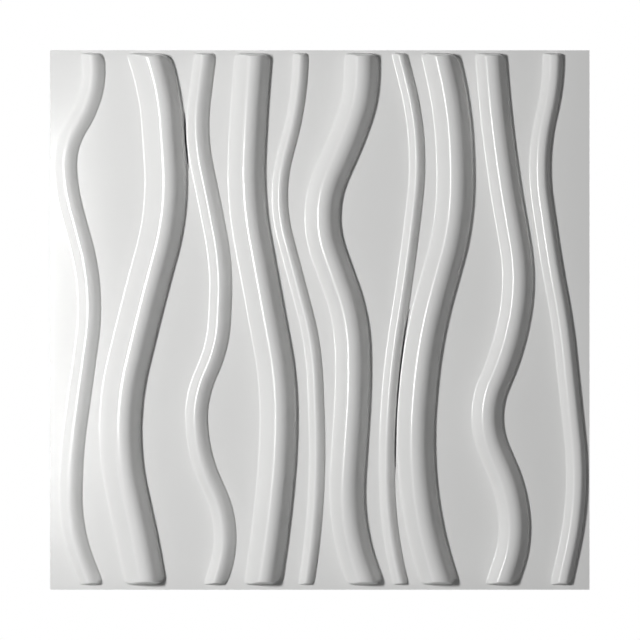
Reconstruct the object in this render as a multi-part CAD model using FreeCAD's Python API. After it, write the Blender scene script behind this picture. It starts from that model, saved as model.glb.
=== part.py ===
import FreeCAD, Part

import math
import os
from collections import namedtuple

# Square wall panel, vacuum formed from one white PVC sheet.
# Ten hollow ribs wander down the front, each with its own width, height and route.
# The frame is the panel lying face up: back in the plane Z = 0, front towards +Z,
# X across the ribs, +Y towards the upper edge, origin at the middle of the back.

os.makedirs("parts", exist_ok=True)

# Sheet
PANEL_WIDTH = 500.0
PANEL_LENGTH = 500.0
SHEET_THICKNESS = 1.0

# Flat borders past the ends of the ribs
UPPER_BORDER = 2.5
LOWER_BORDER = 4.5

# Rib section, seen along the rib with the upper edge of the panel ahead
RIGHT_FLANK_SHARE = 0.22   # plan width from the crown to the right foot, as a share of the rib's width
SHOULDER_RADIUS = 2.5      # rounding between the left flank and the crown
CROWN_FLATS = 3            # flats behind the crown, folded sharply, one wall in from the front
STEP_DRAFT = 8.0           # degrees that the steep step at a tall rib's right foot leans back

# Rib ends
END_DRAFT = 10.0           # degrees that an end wall leans back
CORNER_SHARE = 0.20        # plan radius of an end's corners, as a share of the rib's width
CORNER_GROWTH = 0.8        # how much that radius grows behind, as a share of the sheet's thickness

# A rib is its width and height, the share of the width at which its left flank meets the crown,
# the height of the steep step at its right foot, and its route.
Rib = namedtuple("Rib", "width height crest step route")

# A route is the rib's centre line: the corners of a bent line that runs from past the upper
# edge to past the lower one, each corner rounded by the largest arc that its runs leave room for.
# Corners are shares of the panel's width and length, measured from its middle.
RIBS = (
    Rib(21.6, 9.0, 0.400, 0.0, (
        (-0.429, 0.524), (-0.409, 0.435), (-0.475, 0.318), (-0.469, 0.236), (-0.419, 0.054),
        (-0.462, -0.256), (-0.462, -0.394), (-0.409, -0.524),
    )),
    Rib(39.6, 18.0, 0.435, 3.0, (
        (-0.330, 0.524), (-0.297, 0.447), (-0.281, 0.205), (-0.326, 0.041), (-0.384, -0.199),
        (-0.329, -0.451), (-0.319, -0.524),
    )),
    Rib(21.0, 8.5, 0.390, 0.0, (
        (-0.209, 0.524), (-0.232, 0.346), (-0.204, 0.214), (-0.182, 0.096), (-0.189, -0.051),
        (-0.232, -0.143), (-0.225, -0.252), (-0.163, -0.389), (-0.205, -0.524),
    )),
    Rib(35.2, 16.5, 0.420, 3.0, (
        (-0.121, 0.524), (-0.133, 0.380), (-0.139, 0.225), (-0.077, -0.112), (-0.077, -0.240),
        (-0.091, -0.385), (-0.112, -0.524),
    )),
    Rib(14.8, 6.4, 0.370, 0.0, (
        (-0.037, 0.524), (-0.033, 0.431), (-0.085, 0.228), (-0.045, 0.078), (-0.012, -0.048),
        (-0.002, -0.320), (-0.031, -0.524),
    )),
    Rib(33.4, 16.0, 0.365, 3.0, (
        (0.078, 0.524), (0.076, 0.416), (0.054, 0.347), (-0.011, 0.199), (0.059, 0.002),
        (0.062, -0.115), (0.048, -0.330), (0.059, -0.416), (0.097, -0.524),
    )),
    Rib(14.6, 6.6, 0.390, 0.0, (
        (0.139, 0.524), (0.187, 0.333), (0.164, 0.122), (0.123, -0.140), (0.123, -0.407),
        (0.159, -0.524),
    )),
    Rib(35.3, 16.5, 0.375, 3.0, (
        (0.215, 0.524), (0.246, 0.389), (0.252, 0.251), (0.244, 0.160), (0.189, -0.040),
        (0.174, -0.231), (0.190, -0.385), (0.233, -0.524),
    )),
    Rib(29.4, 13.8, 0.345, 2.7, (
        (0.314, 0.524), (0.327, 0.340), (0.372, 0.077), (0.351, -0.051), (0.295, -0.179),
        (0.355, -0.319), (0.363, -0.410), (0.325, -0.524),
    )),
    Rib(19.9, 10.4, 0.360, 2.7, (
        (0.430, 0.524), (0.436, 0.456), (0.400, 0.299), (0.429, 0.100), (0.449, -0.005),
        (0.477, -0.270), (0.472, -0.372), (0.439, -0.524),
    )),
)

# Allowances for the cuts and joins of the model
CUT_TOLERANCE = 0.001
FOOT_MARGIN = 0.15
BACK_MARGIN = 0.5
TOP_MARGIN = 0.2
COLLAR_LEG = 0.5
COLLAR_WIDTH = 40.0
SHORTEST_RUN = 0.01
UP = FreeCAD.Vector(0, 0, 1)


def point(x, y, z=0.0):
    return FreeCAD.Vector(x, y, z)


def line_edge(start, end):
    return Part.LineSegment(start, end).toShape()


def arc_edge(start, end, centre):
    """The short arc about the centre from start to end."""
    radius = (start - centre).Length
    towards_middle = (start + end) * 0.5 - centre
    towards_middle.normalize()
    return Part.Arc(start, centre + towards_middle * radius, end).toShape()


def right_flank_slope(rise, crown, flank):
    """Angle of a flank of that plan width under a crown of that plan width, together that high.

    The crown is an arc that starts level and ends in line with the flank.
    """
    low = 0.0
    high = math.pi / 2
    for _ in range(50):
        slope = (low + high) / 2
        if crown * math.tan(slope / 2) + flank * math.tan(slope) < rise:
            low = slope
        else:
            high = slope
    return low


class Section:
    """Outline of a rib across its route: X across, Y up from the back of the sheet."""

    def __init__(self, rib):
        half = rib.width / 2
        left_flank = rib.width * rib.crest
        crown = rib.width * (1 - rib.crest - RIGHT_FLANK_SHARE)
        wall = rib.step * math.tan(math.radians(STEP_DRAFT))
        right_flank = rib.width * RIGHT_FLANK_SHARE - wall
        self.step = rib.step
        self.left_slope = math.atan2(rib.height, left_flank)
        self.right_slope = right_flank_slope(rib.height - rib.step, crown, right_flank)
        self.foot_slope = math.radians(90 - STEP_DRAFT) if rib.step else self.right_slope
        self.step_edge = point(half - wall, SHEET_THICKNESS + rib.step)
        self.left_foot = point(-half, SHEET_THICKNESS)
        self.right_foot = point(half, SHEET_THICKNESS)
        self.left_normal = point(-math.sin(self.left_slope), math.cos(self.left_slope))
        self.right_normal = point(math.sin(self.right_slope), math.cos(self.right_slope))
        self.top = SHEET_THICKNESS + rib.height
        self.crown_radius = crown / math.sin(self.right_slope)
        self.crown_centre = point(left_flank - half, self.top - self.crown_radius)

        flank_to_centre = (self.crown_centre - self.left_foot).dot(self.left_normal) + SHOULDER_RADIUS
        reach = self.crown_radius - SHOULDER_RADIUS
        uphill = point(math.cos(self.left_slope), math.sin(self.left_slope))
        self.shoulder_centre = (
            self.crown_centre - self.left_normal * flank_to_centre
            + uphill * math.sqrt(reach ** 2 - flank_to_centre ** 2))

    def front(self):
        """The rib's own outline, standing on the face of the sheet."""
        roll_over = (self.shoulder_centre - self.crown_centre).normalize()
        shoulder_start = self.shoulder_centre + self.left_normal * SHOULDER_RADIUS
        crown_start = self.crown_centre + roll_over * self.crown_radius
        crown_end = self.crown_centre + self.right_normal * self.crown_radius
        outline = [
            line_edge(self.left_foot, shoulder_start),
            arc_edge(shoulder_start, crown_start, self.shoulder_centre),
            arc_edge(crown_start, crown_end, self.crown_centre),
            line_edge(crown_end, self.step_edge),
        ]
        if self.step:
            outline.append(line_edge(self.step_edge, self.right_foot))
        outline.append(line_edge(self.right_foot, self.left_foot))
        return Part.Wire(outline)

    def hollow(self):
        """The outline one wall further in, open below the back of the sheet."""
        radius = self.crown_radius - SHEET_THICKNESS
        flank_height = (self.left_foot - self.crown_centre).dot(self.left_normal) - SHEET_THICKNESS
        first = math.pi / 2 + self.left_slope - math.acos(flank_height / radius)
        last = math.pi / 2 - self.right_slope
        crown = []
        for i in range(CROWN_FLATS + 1):
            turn = first + (last - first) * i / CROWN_FLATS
            crown.append(self.crown_centre + point(math.cos(turn), math.sin(turn)) * radius)
        if self.step:
            wall_normal = point(math.sin(self.foot_slope), math.cos(self.foot_slope))
            inwards = (self.right_normal + wall_normal) / (1 + self.right_normal.dot(wall_normal))
            crown.append(self.step_edge - inwards * SHEET_THICKNESS)
        left_base = point(self.left_foot.x + self.base_shift(self.left_slope), -BACK_MARGIN)
        right_base = point(self.right_foot.x - self.base_shift(self.foot_slope), -BACK_MARGIN)
        return Part.makePolygon([left_base] + crown + [right_base, left_base])

    def base_shift(self, slope):
        """How far inside a foot of that slope the hollow's outline ends, below the sheet."""
        return SHEET_THICKNESS / math.sin(slope) - (SHEET_THICKNESS + BACK_MARGIN) / math.tan(slope)


def route_edges(rib):
    """The straight runs and tangent arcs of the rib's centre line."""
    corners = [point(x * PANEL_WIDTH, y * PANEL_LENGTH) for x, y in rib.route]
    room = [(end - start).Length / 2 for start, end in zip(corners, corners[1:])]
    room[0] *= 2
    room[-1] *= 2
    edges = []
    reached = corners[0]
    for i in range(1, len(corners) - 1):
        back = (corners[i - 1] - corners[i]).normalize()
        ahead = (corners[i + 1] - corners[i]).normalize()
        reach = min(room[i - 1], room[i])
        half_angle = back.getAngle(ahead) / 2
        arc_start = corners[i] + back * reach
        arc_end = corners[i] + ahead * reach
        centre = corners[i] + (back + ahead).normalize() * (reach / math.cos(half_angle))
        if (arc_start - reached).Length > SHORTEST_RUN:
            edges.append(line_edge(reached, arc_start))
        edges.append(arc_edge(arc_start, arc_end, centre))
        reached = arc_end
    if (corners[-1] - reached).Length > SHORTEST_RUN:
        edges.append(line_edge(reached, corners[-1]))
    return edges


def route_station(edges, y):
    """Point and direction of the route where it crosses a given Y; the route always runs down."""
    edge = next(each for each in edges if each.lastVertex(True).Y <= y)
    low = edge.FirstParameter
    high = edge.LastParameter
    for _ in range(50):
        middle = (low + high) / 2
        if edge.valueAt(middle).y > y:
            low = middle
        else:
            high = middle
    return edge.valueAt(low), edge.tangentAt(low)


def swept(edges, outline):
    """A closed outline carried along connected edges, always upright and square to them.

    The outline's X points to the right of the way ahead, its Y up.
    """
    start = edges[0].valueAt(edges[0].FirstParameter)
    back = -edges[0].tangentAt(edges[0].FirstParameter)
    right = UP.cross(back)
    outline.Placement = FreeCAD.Placement(start, FreeCAD.Rotation(right, UP, back, "XYZ"))
    sweep = Part.BRepOffsetAPI.MakePipeShell(Part.Wire(edges))
    sweep.setBiNormalMode(UP)
    sweep.add(outline, False, False)
    sweep.build()
    sweep.makeSolid()
    return sweep.shape()


def rounded_corner(corner, first_side, second_side, radius):
    """Arc between two sides that leave a corner; gives its start, end and centre."""
    half_angle = first_side.getAngle(second_side) / 2
    inwards = (first_side + second_side).normalize()
    centre = corner + inwards * (radius / math.sin(half_angle))
    reach = radius / math.tan(half_angle)
    return corner + first_side * reach, corner + second_side * reach, centre


def end_collar(edges, outline, rib, inset, upper):
    """What a rib end is cut off with: a ring sector round its leaning wall and rounded corners."""
    side = 1 if upper else -1
    draft = math.radians(END_DRAFT)
    border = UPPER_BORDER if upper else LOWER_BORDER
    foot_end = PANEL_LENGTH / 2 - border
    wall_inset = inset / math.cos(draft)
    corner_radius = rib.width * CORNER_SHARE + inset * CORNER_GROWTH
    station, down = route_station(edges, side * (foot_end - corner_radius / 2))
    outwards = down * -side
    across = UP.cross(down) * side
    half_width = max(-outline.XMin, outline.XMax) + FOOT_MARGIN
    end_y = side * (foot_end - wall_inset)
    corners = []
    for hand in (-1, 1):
        on_side = station + across * (hand * half_width)
        corner = on_side + outwards * ((end_y - on_side.y) / outwards.y)
        corners.append(rounded_corner(corner, -outwards, point(-hand * side, 0), corner_radius))
    first, last = corners
    path = [
        line_edge(first[0] - outwards * COLLAR_LEG, first[0]),
        arc_edge(first[0], first[1], first[2]),
        line_edge(first[1], last[1]),
        arc_edge(last[1], last[0], last[2]),
        line_edge(last[0], last[0] - outwards * COLLAR_LEG),
    ]
    lean = math.tan(draft)
    low = -2 * BACK_MARGIN
    high = outline.YMax + TOP_MARGIN
    return swept(path, Part.makePolygon([
        point((low - SHEET_THICKNESS) * lean, low),
        point((high - SHEET_THICKNESS) * lean, high),
        point(-COLLAR_WIDTH, high),
        point(-COLLAR_WIDTH, low),
        point((low - SHEET_THICKNESS) * lean, low),
    ]))


def rib_solid(rib, outline, inset):
    """An outline swept along the rib's route between two leaning, round-cornered ends."""
    edges = route_edges(rib)
    collars = [end_collar(edges, outline.BoundBox, rib, inset, upper) for upper in (True, False)]
    return swept(edges, outline).cut(collars, CUT_TOLERANCE).Solids[0]


def panel_sheet():
    """The sheet with its ribs raised in front and left open behind."""
    plate = Part.makeBox(
        PANEL_WIDTH, PANEL_LENGTH, SHEET_THICKNESS,
        point(-PANEL_WIDTH / 2, -PANEL_LENGTH / 2))
    fronts = [rib_solid(rib, Section(rib).front(), 0.0) for rib in RIBS]
    hollows = [rib_solid(rib, Section(rib).hollow(), SHEET_THICKNESS) for rib in RIBS]
    return plate.fuse(fronts).cut(hollows)


panel_sheet().exportStep("parts/panel_sheet.step")
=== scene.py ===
import math
from collections import namedtuple

import bpy
import numpy as np
from bpy.props import FloatProperty, FloatVectorProperty, PointerProperty, StringProperty
from bpy.types import Operator, Panel, PropertyGroup
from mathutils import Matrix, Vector


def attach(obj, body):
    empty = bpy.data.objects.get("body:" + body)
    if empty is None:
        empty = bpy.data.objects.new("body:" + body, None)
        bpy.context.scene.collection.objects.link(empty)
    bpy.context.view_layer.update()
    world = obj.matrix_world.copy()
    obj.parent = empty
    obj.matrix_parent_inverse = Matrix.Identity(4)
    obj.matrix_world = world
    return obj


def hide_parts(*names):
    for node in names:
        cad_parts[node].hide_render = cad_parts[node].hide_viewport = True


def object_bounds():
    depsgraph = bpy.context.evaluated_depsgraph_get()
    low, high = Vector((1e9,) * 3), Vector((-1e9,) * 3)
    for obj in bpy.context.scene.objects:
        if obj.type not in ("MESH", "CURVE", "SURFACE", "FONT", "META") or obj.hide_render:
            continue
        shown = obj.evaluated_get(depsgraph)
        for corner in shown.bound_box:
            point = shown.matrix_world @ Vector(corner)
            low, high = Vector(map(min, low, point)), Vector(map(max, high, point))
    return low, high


# White vacuum-formed wall panel with ten wandering ribs, lying face up.
# Metres; the back of the sheet lies in Z = 0 and the panel's upper edge is towards +Y.

bl_info = {
    "name": "Ribbed wall panel",
    "version": (1, 0, 0),
    "blender": (4, 5, 0),
    "location": "View3D > Sidebar > Wall panel",
    "description": "Forms a ribbed PVC wall panel, its material, lights and stage",
    "category": "Object",
}

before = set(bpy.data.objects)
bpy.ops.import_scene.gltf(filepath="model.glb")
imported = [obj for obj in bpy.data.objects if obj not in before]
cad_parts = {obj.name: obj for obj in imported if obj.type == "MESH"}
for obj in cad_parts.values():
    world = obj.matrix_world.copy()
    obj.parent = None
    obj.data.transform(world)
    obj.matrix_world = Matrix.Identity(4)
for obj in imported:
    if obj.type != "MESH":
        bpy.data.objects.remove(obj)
LOW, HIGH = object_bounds()

MM = 0.001
NODE = "panel_sheet"
PANEL_WIDTH = HIGH[0] - LOW[0]
PANEL_LENGTH = HIGH[1] - LOW[1]

Rib = namedtuple("Rib", "width height crest step roll route")

# Each rib: width and height in millimetres, the place of its crest as a share of the width, the
# height in millimetres of the steep step at its right foot, how late its crown rolls over (1 is
# evenly), and the corners of its centre line as shares of the panel's width and length. The
# corners are rounded by the largest arcs that fit.
RIBS = (
    Rib(21.6, 9.2, 0.335, 0.0, 1.0, (
        (-0.429, 0.524), (-0.409, 0.435), (-0.475, 0.318), (-0.469, 0.236), (-0.419, 0.054),
        (-0.462, -0.256), (-0.462, -0.394), (-0.409, -0.524),
    )),
    Rib(39.6, 17.6, 0.378, 3.2, 1.9, (
        (-0.330, 0.524), (-0.297, 0.447), (-0.281, 0.205), (-0.326, 0.041), (-0.384, -0.199),
        (-0.329, -0.451), (-0.319, -0.524),
    )),
    Rib(21.0, 9.4, 0.322, 0.0, 1.0, (
        (-0.209, 0.524), (-0.232, 0.346), (-0.204, 0.214), (-0.182, 0.096), (-0.189, -0.051),
        (-0.232, -0.143), (-0.225, -0.252), (-0.163, -0.389), (-0.205, -0.524),
    )),
    Rib(35.2, 16.9, 0.359, 3.1, 1.7, (
        (-0.121, 0.524), (-0.133, 0.380), (-0.139, 0.225), (-0.077, -0.112), (-0.077, -0.240),
        (-0.091, -0.385), (-0.112, -0.524),
    )),
    Rib(14.8, 6.9, 0.320, 0.0, 1.2, (
        (-0.037, 0.524), (-0.033, 0.431), (-0.085, 0.228), (-0.045, 0.078), (-0.012, -0.048),
        (-0.002, -0.320), (-0.031, -0.524),
    )),
    Rib(33.4, 16.3, 0.310, 3.0, 1.7, (
        (0.078, 0.524), (0.076, 0.416), (0.054, 0.347), (-0.011, 0.199), (0.059, 0.002),
        (0.062, -0.115), (0.048, -0.330), (0.059, -0.416), (0.097, -0.524),
    )),
    Rib(14.6, 7.3, 0.350, 0.0, 1.2, (
        (0.139, 0.524), (0.187, 0.333), (0.164, 0.122), (0.123, -0.140), (0.123, -0.407),
        (0.159, -0.524),
    )),
    Rib(35.3, 16.7, 0.321, 2.5, 1.7, (
        (0.215, 0.524), (0.246, 0.389), (0.252, 0.251), (0.244, 0.160), (0.189, -0.040),
        (0.174, -0.231), (0.190, -0.385), (0.233, -0.524),
    )),
    Rib(29.4, 13.0, 0.281, 1.7, 2.0, (
        (0.314, 0.524), (0.327, 0.340), (0.372, 0.077), (0.351, -0.051), (0.295, -0.179),
        (0.355, -0.319), (0.363, -0.410), (0.325, -0.524),
    )),
    Rib(19.9, 8.0, 0.290, 0.7, 3.4, (
        (0.430, 0.524), (0.436, 0.456), (0.400, 0.299), (0.429, 0.100), (0.449, -0.005),
        (0.477, -0.270), (0.472, -0.372), (0.439, -0.524),
    )),
)

# Grids of the front and of the hidden back: which of the close stations each keeps, its spacing in
# millimetres along a rib, across the bends and across the flats, and its columns in each valley.
Grid = namedtuple("Grid", "every along bend flat valley is_back")
FRONT_GRID = Grid(every=1, along=3.6, bend=0.8, flat=1.5, valley=2, is_back=0.0)
BACK_GRID = Grid(every=2, along=7.0, bend=2.0, flat=3.5, valley=1, is_back=1.0)

# Close stations in millimetres, inwards from an end wall's foot, from a plain foot and from the
# foot of a step
END_STATIONS = (
    -0.9, -0.5, -0.2, 0.0, 0.2, 0.45, 0.75, 1.1, 1.5, 1.9, 2.2, 2.5, 2.75, 3.0, 3.25, 3.6, 4.1,
    4.8, 5.7, 6.8, 8.2, 10.0, 12.0)
FOOT_STATIONS = (-1.8, -0.9, -0.4, 0.1, 0.7, 1.5)
STEP_STATIONS = (-1.8, -0.9, -0.4, -0.1, 0.1, 0.3, 0.5, 0.8, 1.5)

ROUTE_STEP = 1.5 * MM           # longest stretch of a rounded corner between two points
SLANT_REACH = 2.0 * MM          # how far to either side of a row a rib's slant is measured
SHOULDER_REACH = 2.0 * MM       # how far to either side of the crest the columns are close
EDGE_CLEARANCE = 0.2 * MM       # between the panel's side edges and the columns of a rib
FOOT_SHIFT = 0.75               # share of its rounding by which a left flank stands in from the edge

# A drawn sheet keeps a very low, soft waviness
PEEL_SPACING = 9.0 * MM
PEEL_DEPTH = 0.2 * MM
PEEL_STRENGTH = 0.05
PVC_IOR = 1.53

GROUND_REACH = 3.0              # from the middle of the ground to its edges
GROUND_DROP = 0.2 * MM          # from the back of the sheet down to the ground
OVERHEAD_FOCUS = 2.0            # how quickly the room darkens from straight above to the sides
CAMERA_SHIFT = 0.2 * MM         # of the camera to the right of the panel's middle


class WALLPANEL_PG_sheet(PropertyGroup):
    """Sizes and finish of the formed sheet"""
    thickness: FloatProperty(
        name="Sheet thickness", description="Thickness of the PVC sheet",
        default=1.0 * MM, min=0.2 * MM, unit="LENGTH")
    upper_border: FloatProperty(
        name="Upper border", description="Flat border past the ribs' upper ends",
        default=2.5 * MM, min=0.0, unit="LENGTH")
    lower_border: FloatProperty(
        name="Lower border", description="Flat border past the ribs' lower ends",
        default=4.5 * MM, min=0.0, unit="LENGTH")
    right_flank: FloatProperty(
        name="Right flank",
        description="Plan width of the straight right flank, as a share of the rib",
        default=0.235, min=0.1, max=0.5)
    crown_rise: FloatProperty(
        name="Crown rise",
        description="Rise per run at which the crown starts, right of the shoulder",
        default=0.20, min=0.0, max=0.5)
    shoulder: FloatProperty(
        name="Shoulder rounding",
        description="How far the left flank and the crown blend into each other",
        default=2.6 * MM, min=0.1 * MM, unit="LENGTH")
    step_rounding: FloatProperty(
        name="Step rounding",
        description="How far the right flank and the step blend into each other",
        default=0.6 * MM, min=0.1 * MM, unit="LENGTH")
    fold_depth: FloatProperty(
        name="Fold depth",
        description="Depth of the shallow fold along a stepped rib's flank, as a share of its height",
        default=0.022, min=0.0, max=0.5)
    fold_place: FloatProperty(
        name="Fold place", description="Place of the fold as a share of the rib's width",
        default=0.80, min=0.5, max=1.0)
    fold_width: FloatProperty(
        name="Fold width", description="Half width of the fold as a share of the rib's width",
        default=0.055, min=0.01, max=0.2)
    left_foot: FloatProperty(
        name="Left foot rounding", description="How far the left feet blend into the flat sheet",
        default=1.6 * MM, min=0.1 * MM, unit="LENGTH")
    right_foot: FloatProperty(
        name="Right foot rounding", description="How far the right feet blend into the flat sheet",
        default=0.4 * MM, min=0.1 * MM, unit="LENGTH")
    rim: FloatProperty(
        name="Rim rounding", description="How far the end walls blend into the top of the rib",
        default=9.0 * MM, min=0.1 * MM, unit="LENGTH")
    step_draft: FloatProperty(
        name="Step draft", description="Angle that the steps at the tall ribs' right feet lean back",
        default=math.radians(14.0), min=0.01, max=1.0, subtype="ANGLE")
    step_inset: FloatProperty(
        name="Step inset",
        description="How far the steps stand in from the ribs' edge, as a share of their height",
        default=0.2, min=0.0, max=1.0)
    end_draft: FloatProperty(
        name="End draft", description="Angle that the end walls lean back",
        default=math.radians(9.0), min=0.01, max=1.0, subtype="ANGLE")
    left_corner: FloatProperty(
        name="Left corner",
        description="Plan radius of the ends' left corners, as a share of the rib",
        default=0.20, min=0.02, max=0.45)
    right_corner: FloatProperty(
        name="Right corner",
        description="Plan radius of the ends' right corners, as a share of the rib",
        default=0.30, min=0.02, max=0.45)
    colour: StringProperty(
        name="Colour", description="Colour of the PVC as sRGB hex", default="#E6E6E5")
    roughness: FloatProperty(
        name="Roughness", description="Roughness of the PVC's surface",
        default=0.23, min=0.0, max=1.0, subtype="FACTOR")


class WALLPANEL_PG_stage(PropertyGroup):
    """White surround, room, lamps and camera"""
    surround: StringProperty(
        name="Surround", description="Colour seen round the panel as sRGB hex", default="#FFFFFF")
    table: StringProperty(
        name="Table", description="Colour of the matt ground that lights the panel, as sRGB hex",
        default="#C8C8C8")
    overhead: FloatProperty(
        name="Overhead", description="Brightness of the room straight above",
        default=0.07, min=0.0)
    key_energy: FloatProperty(
        name="Key energy", description="Power of the soft lamp to the left, in watts",
        default=36.4, min=0.0)
    key_size: FloatProperty(
        name="Key size", description="Side of the soft lamp", default=0.30, min=0.01, unit="LENGTH")
    key_place: FloatVectorProperty(
        name="Key place", description="Middle of the soft lamp",
        default=(-1.2, 0.20, 1.72), subtype="TRANSLATION", unit="LENGTH")
    strip_energy: FloatProperty(
        name="Strip energy", description="Power of the strip lamp over the left edge, in watts",
        default=0.080, min=0.0)
    strip_size: FloatVectorProperty(
        name="Strip size", description="Width and length of the strip lamp",
        default=(0.05, 0.40), size=2, min=0.01, unit="LENGTH")
    strip_place: FloatVectorProperty(
        name="Strip place", description="Middle of the strip lamp, which points straight down",
        default=(-0.32, 0.0, 0.45), subtype="TRANSLATION", unit="LENGTH")
    strip_spread: FloatProperty(
        name="Strip spread", description="Full angle of the strip lamp's beam",
        default=math.radians(38.0), min=0.02, max=math.pi, subtype="ANGLE")
    near_energy: FloatProperty(
        name="Near lamp energy", description="Power of the small lamp near the left edge, in watts",
        default=6.0, min=0.0)
    near_size: FloatVectorProperty(
        name="Near lamp size", description="Width and length of the small lamp",
        default=(0.12, 0.24), size=2, min=0.01, unit="LENGTH")
    near_place: FloatVectorProperty(
        name="Near lamp place", description="Middle of the small lamp",
        default=(-0.5, 0.05, 0.62), subtype="TRANSLATION", unit="LENGTH")
    camera_height: FloatProperty(
        name="Camera height", description="Height of the camera above the panel",
        default=6.0, min=0.5, unit="LENGTH")
    picture_width: FloatProperty(
        name="Picture width", description="Width that the camera takes in at the panel",
        default=0.5933, min=0.1, unit="LENGTH")


def linear(hex_colour):
    """An sRGB hex colour as a linear RGBA tuple."""
    channels = [int(hex_colour[i:i + 2], 16) / 255 for i in (1, 3, 5)]
    return tuple(
        c / 12.92 if c <= 0.04045 else ((c + 0.055) / 1.055) ** 2.4 for c in channels) + (1.0,)


def add(tree, kind, inputs=(), **settings):
    """Adds one node, sets it up and connects its inputs, given by name or position."""
    node = tree.nodes.new(kind)
    for key, value in settings.items():
        setattr(node, key, value)
    for key, value in dict(inputs).items():
        if isinstance(value, bpy.types.NodeSocket):
            tree.links.new(value, node.inputs[key])
        else:
            node.inputs[key].default_value = value
    return node


# Centre lines of the ribs

def route_points(corners):
    """Points along a bent line whose corners are rounded by the largest arcs that fit."""
    corners = [Vector((x * PANEL_WIDTH, y * PANEL_LENGTH)) for x, y in corners]
    room = [(b - a).length / 2 for a, b in zip(corners, corners[1:])]
    room[0] *= 2
    room[-1] *= 2
    points = [corners[0]]
    for i in range(1, len(corners) - 1):
        back = (corners[i - 1] - corners[i]).normalized()
        ahead = (corners[i + 1] - corners[i]).normalized()
        reach = min(room[i - 1], room[i])
        half_angle = back.angle(ahead) / 2
        centre = corners[i] + (back + ahead).normalized() * (reach / math.cos(half_angle))
        start = corners[i] + back * reach - centre
        end = corners[i] + ahead * reach - centre
        turn = start.angle_signed(end)
        count = max(2, math.ceil(start.length * abs(turn) / ROUTE_STEP))
        for j in range(count + 1):
            angle = turn * j / count
            cos = math.cos(-angle)
            sin = math.sin(-angle)
            points.append(
                centre + Vector((start.x * cos - start.y * sin, start.x * sin + start.y * cos)))
    points.append(corners[-1])
    return points


def route_mesh(routes):
    """All centre lines as loose edges that carry the number of their rib."""
    verts, edges, rib = [], [], []
    for k, points in enumerate(routes):
        first = len(verts)
        verts += [(p.x, p.y, 0.0) for p in points]
        edges += [(first + i, first + i + 1) for i in range(len(points) - 1)]
        rib += [k] * (len(points) - 1)
    mesh = bpy.data.meshes.new("rib_routes")
    mesh.from_pydata(verts, edges, [])
    mesh.attributes.new("rib", "INT", "EDGE").data.foreach_set("value", rib)
    return mesh


# Flat sheet before forming

def steps_between(start, end, step):
    """Evenly spaced stations from start up to but not including end."""
    count = max(1, round((end - start) / step))
    return [start + (end - start) * i / count for i in range(count)]


def rows_up_the_panel(sheet, grid):
    """Stations along Y: close together at the ribs' ends, wider between."""
    half = PANEL_LENGTH / 2
    low = [-half + sheet.lower_border + e * MM for e in END_STATIONS][::grid.every]
    high = [half - sheet.upper_border - e * MM for e in reversed(END_STATIONS)][::grid.every]
    return [-half] + low + steps_between(low[-1], high[0], grid.along * MM)[1:] + high + [half]


def columns_across(rib, sheet, grid):
    """Distances from a rib's centre line at which the blank has a column, foot to foot."""
    half = rib.width * MM / 2
    shoulder = rib.width * MM * rib.crest - half
    fold = half - rib.width * MM * (1 - sheet.fold_place + 2 * sheet.fold_width)
    bend = grid.bend * MM
    flat = grid.flat * MM
    left_foot = FOOT_STATIONS[::grid.every]
    right_foot = (STEP_STATIONS if rib.step else FOOT_STATIONS)[::grid.every]
    stations = [-half + e * MM for e in left_foot]
    stations += steps_between(stations[-1], shoulder - SHOULDER_REACH, flat)[1:]
    stations += steps_between(shoulder - SHOULDER_REACH, shoulder + SHOULDER_REACH, bend)
    stations += steps_between(shoulder + SHOULDER_REACH, fold, flat)
    stations += steps_between(fold, half - right_foot[-1] * MM, bend if rib.step else flat)
    stations += [half - e * MM for e in reversed(right_foot)]
    return stations


def blank_grid(sheet, routes, grid):
    """A flat grid whose columns follow the ribs: its rows, the places across and each column's rib."""
    rows = rows_up_the_panel(sheet, grid)
    side = PANEL_WIDTH / 2
    shares = np.arange(1, grid.valley + 1) / (grid.valley + 1)
    left = np.full((len(rows), 1), -side)
    right = np.full((len(rows), 1), side)
    blocks = [left]
    owner = [0]
    for k, (rib, points) in enumerate(zip(RIBS, routes)):
        down = np.array([-p.y for p in points])
        route_x = np.array([p.x for p in points])
        centre = np.interp([-y for y in rows], down, route_x)
        ahead = np.interp([-y + SLANT_REACH for y in rows], down, route_x)
        behind = np.interp([-y - SLANT_REACH for y in rows], down, route_x)
        stretch = np.hypot(1.0, (ahead - behind) / (2 * SLANT_REACH))
        stations = np.array(columns_across(rib, sheet, grid))
        across = centre[:, None] + stations[None, :] * stretch[:, None]
        across = np.clip(across, EDGE_CLEARANCE - side, side - EDGE_CLEARANCE)
        valley = left[:, -1:] + (across[:, :1] - left[:, -1:]) * shares[None, :]
        blocks += [valley, across]
        owner += [max(k - 1, 0)] * grid.valley + [k] * len(stations)
        left = across
    blocks += [left[:, -1:] + (right - left[:, -1:]) * shares[None, :], right]
    owner += [len(RIBS) - 1] * (grid.valley + 1)
    return rows, np.hstack(blocks), owner


# Values that every point of a rib carries
RIB_VALUES = ("rib_width", "rib_height", "rib_crest", "rib_roll", "right_slope", "step_inset",
              "fold_depth")


def rib_values(rib, sheet):
    """What a rib's own points carry, in the order of RIB_VALUES: its sizes, the rise per run of
    its straight right flank, how far its step stands in from the edge and how deep its fold is."""
    step_inset = sheet.step_inset * rib.step
    flank = rib.width * sheet.right_flank
    crown = rib.width - rib.width * rib.crest - flank
    run = crown / (rib.roll + 1) + flank - rib.step * math.tan(sheet.step_draft) - step_inset
    drop = rib.height - rib.step + sheet.crown_rise * crown * rib.roll / (rib.roll + 1)
    if crown <= 0 or run <= 0:
        raise ValueError(f"the rib {rib.width} mm wide has no room for its crown, flank and step")
    fold_depth = sheet.fold_depth * rib.height if rib.step else 0.0
    return (rib.width * MM, rib.height * MM, rib.crest, rib.roll, drop / run, step_inset * MM,
            fold_depth * MM)


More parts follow.
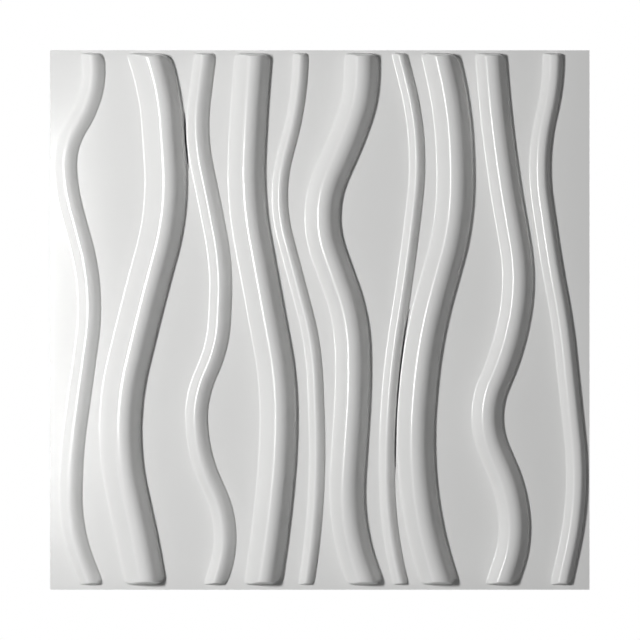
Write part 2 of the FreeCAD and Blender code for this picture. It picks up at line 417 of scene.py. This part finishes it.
def sheet_blank(sheet, routes):
    """The flat sheet before forming: a fine grid for the front and a coarser one for the back."""
    verts, faces, rib, is_back = [], [], [], []
    for grid in (FRONT_GRID, BACK_GRID):
        rows, xs, owner = blank_grid(sheet, routes, grid)
        first = len(verts)
        across = len(owner)
        for j, y in enumerate(rows):
            verts += [(x, y, 0.0) for x in xs[j]]
            rib += owner
            is_back += [grid.is_back] * across
        for j in range(len(rows) - 1):
            for i in range(across - 1):
                a = first + j * across + i
                quad = (a, a + 1, a + across + 1, a + across)
                faces.append(quad[::-1] if grid.is_back else quad)
    mesh = bpy.data.meshes.new("sheet_blank")
    mesh.from_pydata(verts, [], faces)
    mesh.attributes.new("rib", "INT", "POINT").data.foreach_set("value", rib)
    mesh.attributes.new("is_back", "FLOAT", "POINT").data.foreach_set("value", is_back)
    values = [rib_values(each, sheet) for each in RIBS]
    for i, name in enumerate(RIB_VALUES):
        layer = mesh.attributes.new(name, "FLOAT", "POINT")
        layer.data.foreach_set("value", [values[r][i] for r in rib])
    return mesh


def sheet_edges(thickness):
    """The four cut edges of the sheet as flat quads that face outwards."""
    x, y = PANEL_WIDTH / 2, PANEL_LENGTH / 2
    ring = [(-x, -y), (x, -y), (x, y), (-x, y)]
    verts = [(a, b, z) for a, b in ring for z in (0.0, thickness)]
    around = len(verts)
    faces = [(i, (i + 2) % around, (i + 3) % around, i + 1) for i in range(0, around, 2)]
    mesh = bpy.data.meshes.new("sheet_edges")
    mesh.from_pydata(verts, [], faces)
    return mesh


# Relief of the ribs

# The sums that give a point its height, in order. Each row names its result, the operation and the
# terms: earlier results, values that the point carries, inputs of the group or plain numbers.
RELIEF_SUMS = (
    # distance from the rib's centre line, positive to the right
    ("off_route", "SUBTRACT", "x", "route_x"),
    ("side", "SIGN", "off_route"),
    ("across", "MULTIPLY", "side", "route_distance"),
    ("is_right", "GREATER_THAN", "across", 0.0),
    ("half", "MULTIPLY", "rib_width", 0.5),
    ("from_left_edge", "ADD", "across", "half"),
    ("from_right_edge", "SUBTRACT", "half", "across"),

    # the back keeps one wall's thickness from the front
    ("inset", "MULTIPLY", "is_back", "Sheet Thickness"),

    # left flank, moved in by most of the rounding at its foot
    ("foot_shift", "MULTIPLY", "Left Foot Rounding", FOOT_SHIFT),
    ("from_foot", "SUBTRACT", "from_left_edge", "foot_shift"),
    ("left_run", "MULTIPLY", "rib_width", "rib_crest"),
    ("left_angle", "ARCTAN2", "rib_height", "left_run"),
    ("left_slope", "TANGENT", "left_angle"),
    ("left_climb", "MULTIPLY", "from_foot", "left_slope"),
    ("left_cosine", "COSINE", "left_angle"),
    ("left_wall", "DIVIDE", "inset", "left_cosine"),
    ("left_side", "SUBTRACT", "left_climb", "left_wall"),

    # crown, whose slope turns from a slight rise to that of the right flank
    ("right_run", "SUBTRACT", "rib_width", "left_run"),
    ("flank_run", "MULTIPLY", "rib_width", "Right Flank"),
    ("crown_run", "SUBTRACT", "right_run", "flank_run"),
    ("crest_distance", "SUBTRACT", "from_foot", "left_run"),
    ("past_crest", "MAXIMUM", "crest_distance", 0.0),
    ("crown_place", "DIVIDE", "past_crest", "crown_run"),
    ("crown_share", "MINIMUM", "crown_place", 1.0),
    ("whole_turn", "ADD", "right_slope", "Crown Rise"),
    ("turned_share", "POWER", "crown_share", "rib_roll"),
    ("turned", "MULTIPLY", "whole_turn", "turned_share"),
    ("slope_here", "SUBTRACT", "turned", "Crown Rise"),
    ("turn_order", "ADD", "rib_roll", 1.0),
    ("mean_turned", "DIVIDE", "turned", "turn_order"),
    ("mean_slope", "SUBTRACT", "mean_turned", "Crown Rise"),
    ("crown_fall", "MULTIPLY", "mean_slope", "crown_share"),
    ("crown_drop", "MULTIPLY", "crown_fall", "crown_run"),

    # straight right flank
    ("crown_distance", "SUBTRACT", "past_crest", "crown_run"),
    ("past_crown", "MAXIMUM", "crown_distance", 0.0),
    ("drop", "MULTIPLY_ADD", "past_crown", "right_slope", "crown_drop"),
    ("slant_square", "MULTIPLY_ADD", "slope_here", "slope_here", 1.0),
    ("slant", "SQRT", "slant_square"),
    ("right_wall", "MULTIPLY", "inset", "slant"),
    ("right_climb", "SUBTRACT", "rib_height", "drop"),
    ("plain_side", "SUBTRACT", "right_climb", "right_wall"),

    # shallow fold along the flank
    ("place", "DIVIDE", "from_left_edge", "rib_width"),
    ("past_fold", "SUBTRACT", "place", "Fold Place"),
    ("fold_widths", "DIVIDE", "past_fold", "Fold Width"),
    ("fold_square", "MULTIPLY", "fold_widths", "fold_widths"),
    ("fold_fade", "MULTIPLY", "fold_square", -1.0),
    ("fold_share", "EXPONENT", "fold_fade"),
    ("fold", "MULTIPLY", "fold_depth", "fold_share"),
    ("right_side", "SUBTRACT", "plain_side", "fold"),
    ("top", "SMOOTH_MIN", "left_side", "right_side", "Shoulder Rounding"),

    # steep step at the right foot
    ("from_step", "SUBTRACT", "from_right_edge", "step_inset"),
    ("step_tangent", "TANGENT", "Step Draft"),
    ("step_climb", "DIVIDE", "from_step", "step_tangent"),
    ("step_sine", "SINE", "Step Draft"),
    ("step_wall", "DIVIDE", "inset", "step_sine"),
    ("step", "SUBTRACT", "step_climb", "step_wall"),
    ("section", "SMOOTH_MIN", "top", "step", "Step Rounding"),

    # distances from the end walls and from the rib's sides
    ("end_cosine", "COSINE", "End Draft"),
    ("end_inset", "DIVIDE", "inset", "end_cosine"),
    ("half_length", "MULTIPLY", "Panel Length", 0.5),
    ("upper_end", "SUBTRACT", "half_length", "Upper Border"),
    ("from_upper_end", "SUBTRACT", "upper_end", "y"),
    ("lower_end", "SUBTRACT", "half_length", "Lower Border"),
    ("from_lower_end", "ADD", "lower_end", "y"),
    ("end_distance", "MINIMUM", "from_upper_end", "from_lower_end"),
    ("from_end", "SUBTRACT", "end_distance", "end_inset"),
    ("side_distance", "SUBTRACT", "half", "route_distance"),
    ("from_side", "SUBTRACT", "side_distance", "end_inset"),

    # leaning end walls with corners that are rounded in plan
    ("corner_gain", "SUBTRACT", "Right Corner", "Left Corner"),
    ("corner_share", "MULTIPLY_ADD", "is_right", "corner_gain", "Left Corner"),
    ("front_corner", "MULTIPLY", "corner_share", "rib_width"),
    ("corner", "SUBTRACT", "front_corner", "inset"),
    ("end_shortfall", "SUBTRACT", "corner", "from_end"),
    ("short_of_end", "MAXIMUM", "end_shortfall", 0.0),
    ("end_square", "POWER", "short_of_end", 2.0),
    ("side_shortfall", "SUBTRACT", "corner", "from_side"),
    ("short_of_side", "MAXIMUM", "side_shortfall", 0.0),
    ("side_square", "POWER", "short_of_side", 2.0),
    ("corner_square", "ADD", "end_square", "side_square"),
    ("from_corner_middle", "SQRT", "corner_square"),
    ("inside_corner", "SUBTRACT", "corner", "from_corner_middle"),
    ("past_corner", "SUBTRACT", "from_end", "corner"),
    ("inside", "MAXIMUM", "inside_corner", "past_corner"),
    ("end_tangent", "TANGENT", "End Draft"),
    ("end_wall", "DIVIDE", "inside", "end_tangent"),
    ("form", "SMOOTH_MIN", "section", "end_wall", "Rim Rounding"),

    # feet that run out into the flat sheet
    ("foot_gain", "SUBTRACT", "Right Foot Rounding", "Left Foot Rounding"),
    ("foot", "MULTIPLY_ADD", "is_right", "foot_gain", "Left Foot Rounding"),
    ("over_floor", "ADD", "form", "inset"),
    ("raised", "SMOOTH_MAX", "over_floor", 0.0, "foot"),
    ("floor", "SUBTRACT", "Sheet Thickness", "inset"),
    ("z", "ADD", "floor", "raised"),
)


def relief_tree(sheet):
    """Raises the ribs out of the flat blank: every point's height follows from its distances."""
    tree = bpy.data.node_groups.new("Rib relief", "GeometryNodeTree")
    sockets = tree.interface
    sockets.new_socket(name="Geometry", in_out="OUTPUT", socket_type="NodeSocketGeometry")
    sockets.new_socket(name="Geometry", in_out="INPUT", socket_type="NodeSocketGeometry")
    sockets.new_socket(name="Routes", in_out="INPUT", socket_type="NodeSocketObject")
    sockets.new_socket(name="Material", in_out="INPUT", socket_type="NodeSocketMaterial")
    for name, subtype, value in (
            ("Panel Length", "DISTANCE", PANEL_LENGTH),
            ("Sheet Thickness", "DISTANCE", sheet.thickness),
            ("Upper Border", "DISTANCE", sheet.upper_border),
            ("Lower Border", "DISTANCE", sheet.lower_border),
            ("Shoulder Rounding", "DISTANCE", sheet.shoulder),
            ("Step Rounding", "DISTANCE", sheet.step_rounding),
            ("Left Foot Rounding", "DISTANCE", sheet.left_foot),
            ("Right Foot Rounding", "DISTANCE", sheet.right_foot),
            ("Rim Rounding", "DISTANCE", sheet.rim),
            ("Right Flank", "FACTOR", sheet.right_flank),
            ("Crown Rise", "FACTOR", sheet.crown_rise),
            ("Fold Place", "FACTOR", sheet.fold_place),
            ("Fold Width", "FACTOR", sheet.fold_width),
            ("Left Corner", "FACTOR", sheet.left_corner),
            ("Right Corner", "FACTOR", sheet.right_corner),
            ("Step Draft", "ANGLE", sheet.step_draft),
            ("End Draft", "ANGLE", sheet.end_draft)):
        socket = sockets.new_socket(name=name, in_out="INPUT", socket_type="NodeSocketFloat")
        socket.subtype = subtype
        socket.default_value = value
    given = add(tree, "NodeGroupInput").outputs

    # the nearest point on the rib's own centre line
    place = add(tree, "GeometryNodeInputPosition").outputs[0]
    x, y, _ = add(tree, "ShaderNodeSeparateXYZ", {0: place}).outputs
    routes = add(tree, "GeometryNodeObjectInfo", {"Object": given["Routes"]}).outputs["Geometry"]
    rib = add(
        tree, "GeometryNodeInputNamedAttribute", {"Name": "rib"}, data_type="INT").outputs["Attribute"]
    nearest = add(
        tree, "GeometryNodeProximity",
        {"Geometry": routes, "Group ID": rib, "Source Position": place, "Sample Group ID": rib},
        target_element="EDGES").outputs
    route_x = add(tree, "ShaderNodeSeparateXYZ", {0: nearest["Position"]}).outputs["X"]

    results = {"x": x, "y": y, "route_x": route_x, "route_distance": nearest["Distance"]}
    results.update({socket.name: socket for socket in given if socket.name})
    for name in ("is_back",) + RIB_VALUES:
        carried = add(tree, "GeometryNodeInputNamedAttribute", {"Name": name}, data_type="FLOAT")
        results[name] = carried.outputs["Attribute"]
    for name, operation, *terms in RELIEF_SUMS:
        inputs = {i: results[term] if isinstance(term, str) else term for i, term in enumerate(terms)}
        results[name] = add(tree, "ShaderNodeMath", inputs, operation=operation).outputs[0]

    raised = add(tree, "ShaderNodeCombineXYZ", {"X": x, "Y": y, "Z": results["z"]}).outputs[0]
    formed = add(
        tree, "GeometryNodeSetPosition", {"Geometry": given["Geometry"], "Position": raised}).outputs[0]
    whole = add(tree, "GeometryNodeRealizeInstances", {"Geometry": formed}).outputs[0]
    coated = add(
        tree, "GeometryNodeSetMaterial", {"Geometry": whole, "Material": given["Material"]}).outputs[0]
    add(tree, "NodeGroupOutput", {"Geometry": coated})
    return tree


def set_input(modifier, name, value):
    """Sets a modifier's input through the identifier of the group's socket."""
    for item in modifier.node_group.interface.items_tree:
        if item.item_type == "SOCKET" and item.in_out == "INPUT" and item.name == name:
            modifier[item.identifier] = value
            return
    raise RuntimeError(f"the node group has no input named {name}")


def formed_mesh(context, sheet, material):
    """The formed sheet without its cut edges, as a plain mesh."""
    routes = [route_points(rib.route) for rib in RIBS]
    guide = bpy.data.objects.new("rib_routes", route_mesh(routes))
    blank = bpy.data.objects.new("blank", sheet_blank(sheet, routes))
    context.scene.collection.objects.link(guide)
    context.scene.collection.objects.link(blank)
    modifier = blank.modifiers.new("Rib relief", "NODES")
    modifier.node_group = relief_tree(sheet)
    set_input(modifier, "Routes", guide)
    set_input(modifier, "Material", material)
    context.view_layer.update()
    formed = bpy.data.meshes.new_from_object(
        blank.evaluated_get(context.evaluated_depsgraph_get()))
    bpy.data.objects.remove(blank)
    bpy.data.objects.remove(guide)
    if not formed.polygons:
        raise RuntimeError("the relief came out empty")
    for name in ("rib", "is_back") + RIB_VALUES:
        formed.attributes.remove(formed.attributes[name])
    formed.shade_smooth()
    formed.materials.clear()
    formed.materials.append(material)
    return formed


# Material

def pvc_material(sheet):
    """Thermoformed PVC: white, half gloss, with the faint orange peel of a drawn sheet."""
    material = bpy.data.materials.new("thermoformed_pvc")
    material.use_nodes = True
    tree = material.node_tree
    tree.nodes.clear()
    place = add(tree, "ShaderNodeTexCoord").outputs["Object"]
    # the peel bends the thin lights along the crests a little and is not seen elsewhere
    peel = add(tree, "ShaderNodeTexNoise", {"Vector": place, "Scale": 1 / PEEL_SPACING, "Detail": 1.0})
    bump = add(tree, "ShaderNodeBump", {
        "Height": peel.outputs["Fac"], "Strength": PEEL_STRENGTH, "Distance": PEEL_DEPTH})
    shader = add(tree, "ShaderNodeBsdfPrincipled", {
        "Base Color": linear(sheet.colour), "Roughness": sheet.roughness, "IOR": PVC_IOR,
        "Normal": bump.outputs["Normal"]})
    add(tree, "ShaderNodeOutputMaterial", {"Surface": shader.outputs["BSDF"]})
    return material


# Stage

def sees_surround(tree):
    """1 for the rays that see the white surround: the camera's, mirrored and passed-through ones."""
    rays = add(tree, "ShaderNodeLightPath").outputs
    mirrored = add(tree, "ShaderNodeMath", {
        0: rays["Is Camera Ray"], 1: rays["Is Glossy Ray"]}, operation="MAXIMUM")
    passed = add(tree, "ShaderNodeMath", {
        0: mirrored.outputs[0], 1: rays["Is Transmission Ray"]}, operation="MAXIMUM")
    return passed.outputs[0]


def white_ground(stage):
    """A ground that is seen as plain white, and lights the panel as a matt table would."""
    material = bpy.data.materials.new("white_ground")
    material.use_nodes = True
    tree = material.node_tree
    tree.nodes.clear()
    matt = add(tree, "ShaderNodeBsdfDiffuse", {"Color": linear(stage.table)})
    white = add(tree, "ShaderNodeEmission", {"Color": linear(stage.surround), "Strength": 1.0})
    mix = add(tree, "ShaderNodeMixShader", {
        0: sees_surround(tree), 1: matt.outputs[0], 2: white.outputs[0]})
    add(tree, "ShaderNodeOutputMaterial", {"Surface": mix.outputs[0]})

    r = GROUND_REACH
    mesh = bpy.data.meshes.new("ground")
    mesh.from_pydata([(-r, -r, 0), (r, -r, 0), (r, r, 0), (-r, r, 0)], [], [(0, 1, 2, 3)])
    mesh.materials.append(material)
    ground = bpy.data.objects.new("ground", mesh)
    ground.location.z = -GROUND_DROP
    return ground


def white_room(stage):
    """A room that is seen as plain white, and lights the panel softly from above."""
    world = bpy.data.worlds.new("room")
    world.use_nodes = True
    tree = world.node_tree
    tree.nodes.clear()
    # in a room, Generated is the direction in which a ray leaves the panel
    direction = add(tree, "ShaderNodeTexCoord").outputs["Generated"]
    height = add(tree, "ShaderNodeSeparateXYZ", {0: direction}).outputs["Z"]
    up = add(tree, "ShaderNodeMath", {0: height, 1: 0.0}, operation="MAXIMUM")
    focus = add(tree, "ShaderNodeMath", {0: up.outputs[0], 1: OVERHEAD_FOCUS}, operation="POWER")
    light = add(tree, "ShaderNodeMath", {0: focus.outputs[0], 1: stage.overhead}, operation="MULTIPLY")
    dim = add(tree, "ShaderNodeBackground", {"Color": linear("#FFFFFF"), "Strength": light.outputs[0]})
    white = add(tree, "ShaderNodeBackground", {"Color": linear(stage.surround), "Strength": 1.0})
    mix = add(tree, "ShaderNodeMixShader", {
        0: sees_surround(tree), 1: dim.outputs[0], 2: white.outputs[0]})
    add(tree, "ShaderNodeOutputWorld", {"Surface": mix.outputs[0]})
    return world


def area_lamp(name, place, size, energy, aimed=True, spread=math.pi, shades=True, glints=True):
    """A flat lamp, size across by size along Y, that shines straight down or, when it is aimed,
    leans towards the panel's middle line. One that only shades leaves no glint on the gloss, and
    one that only glints adds no light to the shading."""
    lamp = bpy.data.lights.new(name, "AREA")
    lamp.shape = "RECTANGLE"
    lamp.size, lamp.size_y = size
    lamp.energy = energy
    lamp.spread = spread
    holder = bpy.data.objects.new(name, lamp)
    holder.location = place
    if aimed:
        holder.rotation_euler.y = math.atan2(place[0], place[2])
    holder.visible_diffuse = shades
    holder.visible_glossy = glints
    return holder


def camera_above(stage):
    """A camera that looks straight down on the panel from far off."""
    lens = bpy.data.cameras.new("camera")
    lens.sensor_fit = "HORIZONTAL"
    lens.angle = 2 * math.atan(stage.picture_width / 2 / stage.camera_height)
    camera = bpy.data.objects.new("camera", lens)
    camera.location = (CAMERA_SHIFT, 0.0, stage.camera_height)
    return camera


# Operators and panel

class WALLPANEL_OT_sheet(Operator):
    """Form the sheet: a flat blank whose ribs a node group raises along their routes"""
    bl_idname = "wallpanel.sheet"
    bl_label = "Form the sheet"

    def execute(self, context):
        sheet = context.scene.wall_panel_sheet
        material = pvc_material(sheet)
        piece = bpy.data.objects.new("formed_sheet", formed_mesh(context, sheet, material))
        context.scene.collection.objects.link(piece)
        edges = sheet_edges(sheet.thickness)
        edges.materials.append(material)
        rim = bpy.data.objects.new("cut_edges", edges)
        context.scene.collection.objects.link(rim)
        with context.temp_override(
                active_object=piece, object=piece, selected_objects=[piece, rim],
                selected_editable_objects=[piece, rim]):
            bpy.ops.object.join()
        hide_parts(NODE)
        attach(piece, "root")
        return {"FINISHED"}


class WALLPANEL_OT_stage(Operator):
    """Set up the white ground, the room, the lamps and the camera"""
    bl_idname = "wallpanel.stage"
    bl_label = "Set up the stage"

    def execute(self, context):
        stage = context.scene.wall_panel_stage
        scene = context.scene
        ground = white_ground(stage)
        scene.collection.objects.link(ground)
        scene.world = white_room(stage)
        lamps = (
            area_lamp("key", stage.key_place, (stage.key_size, stage.key_size), stage.key_energy,
                      glints=False),
            area_lamp("near", stage.near_place, stage.near_size, stage.near_energy, shades=False),
            area_lamp("strip", stage.strip_place, stage.strip_size, stage.strip_energy,
                      aimed=False, spread=stage.strip_spread))
        for lamp in lamps:
            scene.collection.objects.link(lamp)
        camera = camera_above(stage)
        scene.collection.objects.link(camera)
        scene.camera = camera
        scene.view_settings.view_transform = "Standard"
        return {"FINISHED"}


class WALLPANEL_PT_panel(Panel):
    """Sizes, material and stage of the wall panel"""
    bl_idname = "WALLPANEL_PT_panel"
    bl_label = "Wall panel"
    bl_space_type = "VIEW_3D"
    bl_region_type = "UI"
    bl_category = "Wall panel"

    def draw(self, context):
        for group, operator in (
                (context.scene.wall_panel_sheet, WALLPANEL_OT_sheet),
                (context.scene.wall_panel_stage, WALLPANEL_OT_stage)):
            box = self.layout.box()
            for name in group.__annotations__:
                box.prop(group, name)
            box.operator(operator.bl_idname)


CLASSES = (
    WALLPANEL_PG_sheet, WALLPANEL_PG_stage, WALLPANEL_OT_sheet, WALLPANEL_OT_stage,
    WALLPANEL_PT_panel)


def register():
    for each in CLASSES:
        bpy.utils.register_class(each)
    bpy.types.Scene.wall_panel_sheet = PointerProperty(type=WALLPANEL_PG_sheet)
    bpy.types.Scene.wall_panel_stage = PointerProperty(type=WALLPANEL_PG_stage)


def unregister():
    del bpy.types.Scene.wall_panel_stage
    del bpy.types.Scene.wall_panel_sheet
    for each in reversed(CLASSES):
        bpy.utils.unregister_class(each)


def main():
    register()
    bpy.ops.wallpanel.sheet()
    bpy.ops.wallpanel.stage()


if __name__ == "__main__":
    main()
